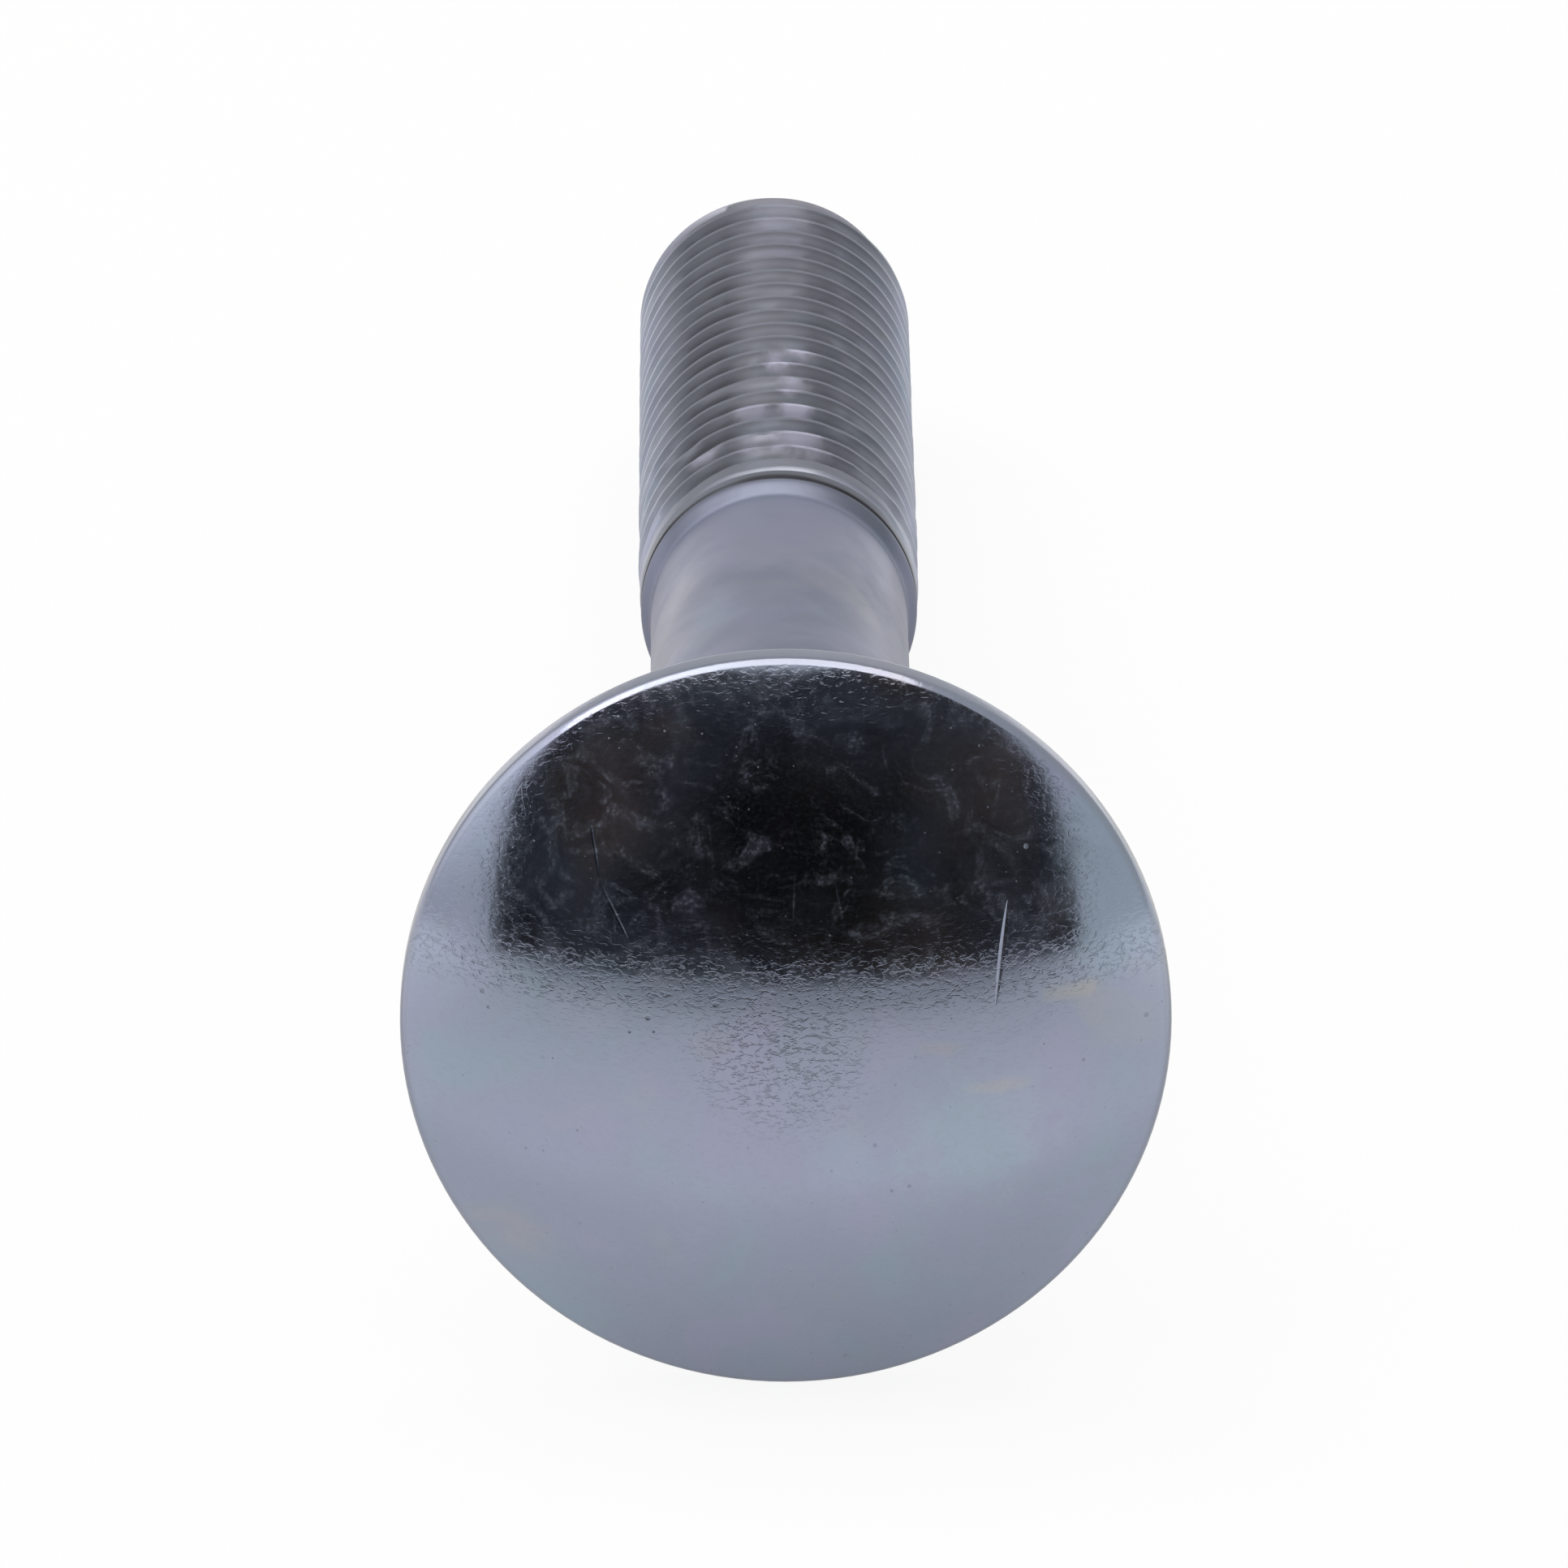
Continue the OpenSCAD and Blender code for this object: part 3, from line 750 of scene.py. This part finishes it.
def headMaterial(groups):
    material, tree, shader = newMetal("zincOnHead")
    look = headPlate
    place = boltCoordinates(tree)
    axes = addNode(tree, "ShaderNodeSeparateXYZ", {0: place})
    fromAxis = vectorCalc(tree, "LENGTH", addNode(tree, "ShaderNodeCombineXYZ", {
        "X": axes.outputs["X"], "Y": axes.outputs["Y"],
    }).outputs[0])
    colour = stainedColour(tree, place, tintedPlate(tree, groups, place, look), look["stains"])
    roughness = hazedPlate(tree, groups, place, look)
    height = waves(tree, place, look["waveCloud"], look["waveHeight"])
    height = calc(tree, "ADD", height, waves(tree, place, look["grainCloud"], look["grainHeight"], 3.0))
    scarred = 0.0
    for mask, depth, rough in scarMasks(tree, groups, place, look):
        if depth:
            height = calc(tree, "MULTIPLY_ADD", mask, -depth, height)
        roughness = calc(tree, "MULTIPLY_ADD", mask, rough, roughness)
        scarred = calc(tree, "MAXIMUM", mask, scarred)
    colour = blendColours(tree, calc(tree, "MULTIPLY", scarred, 0.35), colour, (0.22, 0.23, 0.27, 1.0))
    edge = remap(tree, fromAxis, 9.86, 10.05)
    colour = blendColours(tree, calc(tree, "MULTIPLY", edge, 0.35), colour, (0.26, 0.25, 0.27, 1.0))
    smears = useGroup(tree, groups["smears"], {
        "Vector": place, "Cloud": look["smearCloud"], "Grain": look["smearGrain"], "Amount": look["smearAmount"],
        "Everywhere": look["smearEverywhere"],
    })["Mask"]
    feed(tree, shader.inputs["Base Color"], colour)
    feed(tree, shader.inputs["Metallic"], calc(tree, "SUBTRACT", 1.0, smears))
    feed(tree, shader.inputs["Roughness"], roughness)
    addBump(tree, shader, height)
    return material


def shankMaterial(groups):
    material, tree, shader = newMetal("zincOnShank")
    look = shankPlate
    place = boltCoordinates(tree)
    axes = addNode(tree, "ShaderNodeSeparateXYZ", {0: place})
    riseStart = (threadSize["start"] - threadSize["shoulder"]) / mm
    rise = remap(tree, axes.outputs["Z"], riseStart, riseStart + 0.3)
    # Painted shade on the shoulder: lighter in the middle, darker to the sides, and less again at the very side
    sideways = calc(tree, "DIVIDE", calc(tree, "ABSOLUTE", axes.outputs["X"]), boltSize["shankRadius"] / mm)
    shaded = remap(tree, sideways, *look["shoulderShadeSpread"], 0.42, 0.82)
    shaded = calc(tree, "MULTIPLY", shaded, remap(tree, sideways, 0.98, 0.80, 0.25, 1.0))
    roughness = calc(tree, "MULTIPLY_ADD", rise, look["shoulderDull"], hazedPlate(tree, groups, place, look))
    colour = blendColours(tree, calc(tree, "MULTIPLY", rise, shaded), tintedPlate(tree, groups, place, look),
                          look["shoulderShadeColor"])
    feed(tree, shader.inputs["Base Color"], colour)
    feed(tree, shader.inputs["Roughness"], roughness)
    height = waves(tree, place, look["waveCloud"], look["waveHeight"], 4.0)
    addBump(tree, shader, height)
    return material


def paintedHighlightSpots(tree, place, spots):
    # Painted highlights: pale patches on the crests of the upper side
    noise = addNode(tree, "ShaderNodeTexNoise", {"Vector": place, "Scale": 1.6, "Detail": 3.0, "Roughness": 0.6})
    broken = calc(tree, "MULTIPLY_ADD", noise.outputs[0], 1.2, -0.6)
    mask = 0.0
    for x, z, reachX, reachZ, strength in spots:
        near = addNode(tree, "ShaderNodeMapping", {"Vector": place}, vector_type="TEXTURE")
        near.inputs["Location"].default_value = (x, -threadSize["crestRadius"] / mm, z)
        near.inputs["Scale"].default_value = (reachX, 1.5, reachZ)
        away = calc(tree, "ADD", vectorCalc(tree, "LENGTH", near.outputs[0]), broken)
        mask = calc(tree, "MAXIMUM", mask, remap(tree, away, 1.05, 0.35, 0.0, strength))
    return mask


def threadMaterial(groups):
    material, tree, shader = newMetal("zincOnThread")
    look = threadPlate
    place = boltCoordinates(tree)
    axes = addNode(tree, "ShaderNodeSeparateXYZ", {0: place})
    fromAxis = vectorCalc(tree, "LENGTH", addNode(tree, "ShaderNodeCombineXYZ", {
        "X": axes.outputs["X"], "Y": axes.outputs["Y"],
    }).outputs[0])
    colour = tintedPlate(tree, groups, place, look)
    # Painted shade in the grooves: darker towards the root
    depth = remap(tree, fromAxis, threadSize["crestRadius"] / mm - 0.12, threadSize["rootRadius"] / mm)
    colour = blendColours(tree, calc(tree, "MULTIPLY", depth, 0.7), colour, look["grooveShadeColor"])
    # the crests on the side that lay upwards are rougher, and painted darker too: painted shade that damps their
    # highlights
    crest = remap(tree, fromAxis, threadSize["crestRadius"] / mm - 0.22, threadSize["crestRadius"] / mm - 0.04)
    upwards = remap(tree, calc(tree, "DIVIDE", axes.outputs["Y"], fromAxis), -0.25, -0.85)
    farFrom, farTo, farShare = look["farLight"]
    upwards = calc(tree, "MULTIPLY", upwards, remap(tree, axes.outputs["Z"], farFrom, farTo, 1.0, 1.0 - farShare))
    crest = calc(tree, "MULTIPLY", calc(tree, "MULTIPLY", crest, upwards), 0.85)
    colour = blendColours(tree, crest, colour, look["crestShadeColor"])
    # Painted shade over the edge where the chamfer begins, damping its highlight; it is rougher there too
    tip = remap(tree, axes.outputs["Z"], (boltSize["length"] - threadSize["chamfer"]) / mm - 0.2,
                (boltSize["length"] - threadSize["chamfer"]) / mm + 0.2)
    colour = blendColours(tree, calc(tree, "MULTIPLY", tip, 0.8), colour, look["tipShadeColor"])
    # Painted shade in the die mark's ring, and over the first turn above it
    lineAt = (threadSize["start"] + threadSize["dieMarkLip"] + threadSize["dieMarkHalf"]) / mm
    fromLine = calc(tree, "ABSOLUTE", calc(tree, "SUBTRACT", axes.outputs["Z"], lineAt))
    colour = blendColours(tree, remap(tree, fromLine, 0.34, 0.17, 0.0, 0.92), colour, look["startShadeColor"])
    firstTurn = remap(tree, axes.outputs["Z"], threadSize["start"] / mm + 1.15, threadSize["start"] / mm + 0.55, 0.0, 0.55)
    colour = blendColours(tree, firstTurn, colour, look["startShadeColor"])
    aside = calc(tree, "DIVIDE", axes.outputs["X"], fromAxis)
    for middle, reach, strength in look["shadeBands"]:
        away = calc(tree, "ABSOLUTE", calc(tree, "SUBTRACT", aside, middle))
        shade = calc(tree, "MULTIPLY", remap(tree, away, reach, reach * 0.3, 0.0, strength), upwards)
        colour = blendColours(tree, shade, colour, look["shadeColor"])
    # painted highlights on the upper crests
    shine = paintedHighlightSpots(tree, place, look["shineSpots"])
    colour = blendColours(tree, shine, colour, look["paintedHighlightColor"])
    feed(tree, shader.inputs["Base Color"], colour)
    feed(tree, shader.inputs["Metallic"], calc(tree, "MULTIPLY_ADD", shine, -look["shineFilm"], 1.0))
    roughness = calc(tree, "MULTIPLY_ADD", crest, look["crestDull"], hazedPlate(tree, groups, place, look))
    roughness = calc(tree, "MULTIPLY_ADD", tip, look["tipDull"], roughness)
    feed(tree, shader.inputs["Roughness"], roughness)
    height = waves(tree, place, look["waveCloud"], look["waveHeight"], 4.0)
    addBump(tree, shader, height)
    return material


# The bolt as one closed mesh

def joinMeshes(meshes):
    # meshes are pairs of a mesh and the number of its material
    work = bmesh.new()
    for mesh, number in meshes:
        before = len(work.faces)
        work.from_mesh(mesh)
        work.faces.ensure_lookup_table()
        for face in work.faces[before:]:
            face.material_index = number
            face.smooth = True
    bmesh.ops.remove_doubles(work, verts=work.verts, dist=0.0008 * mm)
    bmesh.ops.recalc_face_normals(work, faces=work.faces)
    openEdges = sum(1 for edge in work.edges if len(edge.link_faces) != 2)
    return work, openEdges


def carriageBolt():
    groups = {
        "scratches": scratchGroup(), "specks": speckGroup(), "tint": tintGroup(), "haze": hazeGroup(),
        "gouge": gougeGroup(), "smears": smearGroup(),
    }
    head, shank, thread = headMaterial(groups), shankMaterial(groups), threadMaterial(groups)
    blank, (startRadius, threadStart) = headAndShank()
    rolled = rolledThread(threadStart, startRadius, thread)
    work, openEdges = joinMeshes([(blank, 1), (rolled, 2), (endFace(), 1)])
    for face in work.faces:
        centre = face.calc_center_median()
        if centre.z < 0:
            face.material_index = 0
        elif centre.z > threadSize["start"] and face.material_index == 1 and centre.z < boltSize["length"] - 0.01 * mm:
            face.material_index = 2
    bmesh.ops.transform(work, matrix=layDown, verts=work.verts)
    mesh = bpy.data.meshes.new("carriageBoltMesh")
    work.to_mesh(mesh)
    work.free()
    for material in (head, shank, thread):
        mesh.materials.append(material)
    mesh.set_sharp_from_angle(angle=math.radians(38))
    triangles = sum(len(p.vertices) - 2 for p in mesh.polygons)
    print("bolt mesh:", triangles, "triangles,", openEdges, "open edges")
    piece = bpy.data.objects.new("carriageBoltFinish", mesh)
    bpy.context.scene.collection.objects.link(piece)
    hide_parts("carriage_bolt")
    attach(piece, "root")
    return piece


# Camera

def placeCamera():
    # The view runs to the bearing face's centre, and the camera then turns until that point is where the photo has it
    data = bpy.data.cameras.new("camera")
    camera = bpy.data.objects.new("camera", data)
    bpy.context.scene.collection.objects.link(camera)
    data.sensor_width = shotSize["sensor"]
    data.lens = shotSize["focal"] / shotSize["picture"] * shotSize["sensor"]
    data.clip_start, data.clip_end = 0.01, 20.0
    tilt, side, distance = shotSize["viewAngle"], shotSize["sideAngle"], shotSize["distance"]
    # in the bolt's frame, where -Y is up
    back = Vector((-math.sin(side) * math.cos(tilt), -math.sin(tilt), -math.cos(side) * math.cos(tilt)))
    camera.location = layDown @ (back * distance)
    look = (lieAt - camera.location).normalized()
    frameX = look.cross(Vector((0, 0, 1))).normalized()
    frameY = frameX.cross(look)
    x = (shotSize["faceCentre"][0] - shotSize["picture"] / 2) / shotSize["focal"]
    y = (shotSize["picture"] / 2 - shotSize["faceCentre"][1]) / shotSize["focal"]
    look = (look - frameX * x - frameY * y).normalized()
    camera.rotation_mode = "QUATERNION"
    camera.rotation_quaternion = look.to_track_quat("-Z", "Y")
    bpy.context.scene.camera = camera


# Floor, lamps and what the mirror-like head reflects

studio = {
    "floorRadius": 4.0,
    "floorColor": (0.80, 0.80, 0.80, 1.0),
    "cameraLift": 0.91,          # how far the floor is lifted to white where the camera sees it
    "glossyLift": 0.50,          # and where the metal mirrors it
    "nearFloor": 0.012,          # in front, the mirrored floor is brightest within this distance, and falls off
    "floorFall": 0.150,
    "farFloor": 0.42,
    "floorWedge": (68.0, 35.0),  # degrees from straight ahead between which that falling off sets in
    "contactShade": (0.034, 0.052, 0.74),    # from, to and level of a painted shadow near the bolt, which the head's foot mirrors
    "worldLevel": 0.62,
    "worldColor": (0.96, 0.98, 1.0, 1.0),
    "brightSide": (-98.0, 42.0), # azimuth and elevation of a window's glow
    "brightReach": 48.0,
    "brightLift": 0.75,
    "softboxSize": (0.76, 0.50),
    "softboxAt": (-0.13, 0.02, 0.50),
    "softboxPower": 1.80,
    "softboxColor": (1.0, 0.94, 0.885),
    "flagRadius": 0.90,
    "flagLow": (1.9, -0.3),      # elevation of its lower edge in the middle and at the sides, in degrees
    "flagTop": 64.0,
    "flagLeft": (-56.5, -62.6),  # azimuth of its left side at the bottom and higher up
    "flagRight": (57.1, 61.2),
    "flagLean": 30.0,            # elevation at which a side has reached its full width
    "flagColor": (0.025, 0.027, 0.030, 1.0),
    "flagWarm": (0.038, 0.030, 0.024, 1.0),
    "darkestAt": (2.0, 27.0),    # azimuth and elevation
    "darkestReach": 33.0,
    "darkestLevel": 0.16,
}


def stageObject(name, points, faces, material):
    mesh = bpy.data.meshes.new(name)
    mesh.from_pydata(points, [], faces)
    mesh.materials.append(material)
    item = bpy.data.objects.new(name, mesh)
    bpy.context.scene.collection.objects.link(item)
    return item


def paleFloor():
    material = bpy.data.materials.new("paleFloor")
    material.use_nodes = True
    tree = material.node_tree
    tree.nodes.clear()
    diffuse = addNode(tree, "ShaderNodeBsdfDiffuse", {"Color": studio["floorColor"]})
    path = addNode(tree, "ShaderNodeLightPath").outputs
    seen = calc(tree, "MAXIMUM", path["Is Camera Ray"], path["Is Transmission Ray"])
    mirrored = path["Is Glossy Ray"]
    place = addNode(tree, "ShaderNodeTexCoord").outputs["Object"]
    # Painted shade on the floor, seen only in the metal's reflections: darker away from the bolt in front, and near
    # the bolt
    away = calc(tree, "MAXIMUM", vectorCalc(tree, "LENGTH", place), studio["nearFloor"])
    fall = calc(tree, "LOGARITHM", calc(tree, "DIVIDE", away, studio["nearFloor"]), math.e)
    level = calc(tree, "MAXIMUM", calc(tree, "MULTIPLY_ADD", fall, -studio["floorFall"], 1.0), studio["farFloor"])
    ahead = vectorCalc(tree, "DOT_PRODUCT", vectorCalc(tree, "NORMALIZE", place), (0.0, -1.0, 0.0))
    outer, inner = (math.cos(math.radians(a)) for a in studio["floorWedge"])
    falling = calc(tree, "MULTIPLY", remap(tree, ahead, outer, inner), calc(tree, "SUBTRACT", 1.0, level))
    shadeFrom, shadeTo, shadeLevel = studio["contactShade"]
    shade = calc(tree, "SUBTRACT", 1.0, remap(tree, away, shadeFrom, shadeTo, shadeLevel, 1.0))
    dimming = calc(tree, "MULTIPLY", mirrored, calc(tree, "MAXIMUM", falling, shade))
    share = calc(tree, "MULTIPLY_ADD", seen, studio["cameraLift"], calc(tree, "MULTIPLY", mirrored,
                                                                      studio["glossyLift"]))
    white = addNode(tree, "ShaderNodeEmission", {"Strength": 1.0})
    lifted = addNode(tree, "ShaderNodeMixShader", {0: share, 1: diffuse.outputs[0], 2: white.outputs[0]})
    black = addNode(tree, "ShaderNodeBsdfDiffuse", {"Color": (0.0, 0.0, 0.0, 1.0)})
    dimmed = addNode(tree, "ShaderNodeMixShader", {0: dimming, 1: lifted.outputs[0], 2: black.outputs[0]})
    clear = addNode(tree, "ShaderNodeBsdfTransparent")
    below = addNode(tree, "ShaderNodeNewGeometry").outputs["Backfacing"]
    mix = addNode(tree, "ShaderNodeMixShader", {0: below, 1: dimmed.outputs[0], 2: clear.outputs[0]})
    addNode(tree, "ShaderNodeOutputMaterial", {"Surface": mix.outputs[0]})
    corners = 96
    radius = studio["floorRadius"]
    points = [(radius * math.cos(2 * math.pi * i / corners), radius * math.sin(2 * math.pi * i / corners), 0.0)
              for i in range(corners)]
    stageObject("paleFloor", points, [tuple(range(corners))], material)


def aim(azimuth, elevation):
    # Azimuth is measured from the front, towards the right, and both are in degrees
    a, b = math.radians(azimuth), math.radians(elevation)
    return Vector((math.sin(a) * math.cos(b), -math.cos(a) * math.cos(b), math.sin(b)))


def flagMaterial():
    # An unlit room: nearly black, darkest in the middle, and a little uneven
    material = bpy.data.materials.new("blackFlag")
    material.use_nodes = True
    tree = material.node_tree
    tree.nodes.clear()
    place = addNode(tree, "ShaderNodeTexCoord").outputs["Object"]
    middle = lieAt + aim(*studio["darkestAt"]) * studio["flagRadius"]
    away = addNode(tree, "ShaderNodeVectorMath", {0: place, 1: middle}, operation="DISTANCE").outputs["Value"]
    reach = math.radians(studio["darkestReach"]) * studio["flagRadius"]
    level = remap(tree, away, reach * 0.35, reach, studio["darkestLevel"], 1.0)
    noise = addNode(tree, "ShaderNodeTexNoise", {"Vector": place, "Scale": 5.0, "Detail": 3.0, "Roughness": 0.55})
    uneven = remap(tree, noise.outputs[0], 0.36, 0.64, 0.45, 1.65, smooth=False)
    warmth = addNode(tree, "ShaderNodeTexNoise", {"Vector": place, "Scale": 3.1, "Detail": 2.0, "Roughness": 0.5})
    colour = blendColours(tree, remap(tree, warmth.outputs[0], 0.46, 0.64), studio["flagColor"], studio["flagWarm"])
    glow = addNode(tree, "ShaderNodeEmission", {"Color": colour, "Strength": calc(tree, "MULTIPLY", level, uneven)})
    addNode(tree, "ShaderNodeOutputMaterial", {"Surface": glow.outputs[0]})
    return material


def blackFlag():
    # A dark screen round the front of the set. Only the metal's reflections see it.
    across, upright = 48, 32
    lowMiddle, lowSide = studio["flagLow"]
    points = []
    for i in range(upright + 1):
        for j in range(across + 1):
            side = 2 * j / across - 1
            low = lowMiddle + (lowSide - lowMiddle) * side * side
            elevation = low + (studio["flagTop"] - low) * i / upright
            near, far = studio["flagRight"] if side > 0 else studio["flagLeft"]
            azimuth = abs(side) * (near + (far - near) * min(1.0, max(0.0, elevation / studio["flagLean"])))
            points.append(lieAt + aim(azimuth, elevation) * studio["flagRadius"])
    row = across + 1
    faces = [(i * row + j, i * row + j + 1, (i + 1) * row + j + 1, (i + 1) * row + j)
             for i in range(upright) for j in range(across)]
    flag = stageObject("blackFlag", points, faces, flagMaterial())
    flag.visible_camera = False
    flag.visible_diffuse = False
    flag.visible_transmission = False
    flag.visible_shadow = False
    flag.visible_volume_scatter = False


def softbox():
    data = bpy.data.lights.new("softbox", "AREA")
    data.shape = "RECTANGLE"
    data.size, data.size_y = studio["softboxSize"]
    data.energy = studio["softboxPower"]
    data.color = studio["softboxColor"]
    lamp = bpy.data.objects.new("softbox", data)
    bpy.context.scene.collection.objects.link(lamp)
    lamp.location = studio["softboxAt"]
    lamp.visible_camera = False


def paleWorld():
    world = bpy.data.worlds.new("paleWorld")
    bpy.context.scene.world = world
    world.use_nodes = True
    tree = world.node_tree
    background = tree.nodes["Background"]
    path = addNode(tree, "ShaderNodeLightPath").outputs
    seen = calc(tree, "MAXIMUM", path["Is Camera Ray"], path["Is Transmission Ray"])
    direction = addNode(tree, "ShaderNodeTexCoord").outputs["Generated"]
    towards = vectorCalc(tree, "DOT_PRODUCT", direction, aim(*studio["brightSide"]))
    edge = math.cos(math.radians(studio["brightReach"]))
    level = remap(tree, towards, edge, 1.0, studio["worldLevel"], studio["worldLevel"] + studio["brightLift"])
    feed(tree, background.inputs["Color"], studio["worldColor"])
    feed(tree, background.inputs["Strength"], remap(tree, seen, 0.0, 1.0, level, 1.0, smooth=False))


print("stage 1: camera")
placeCamera()
print("stage 2: bolt")
carriageBolt()
print("stage 3: floor and lamps")
paleFloor()
blackFlag()
softbox()
paleWorld()
bpy.context.scene.view_settings.view_transform = "Standard"
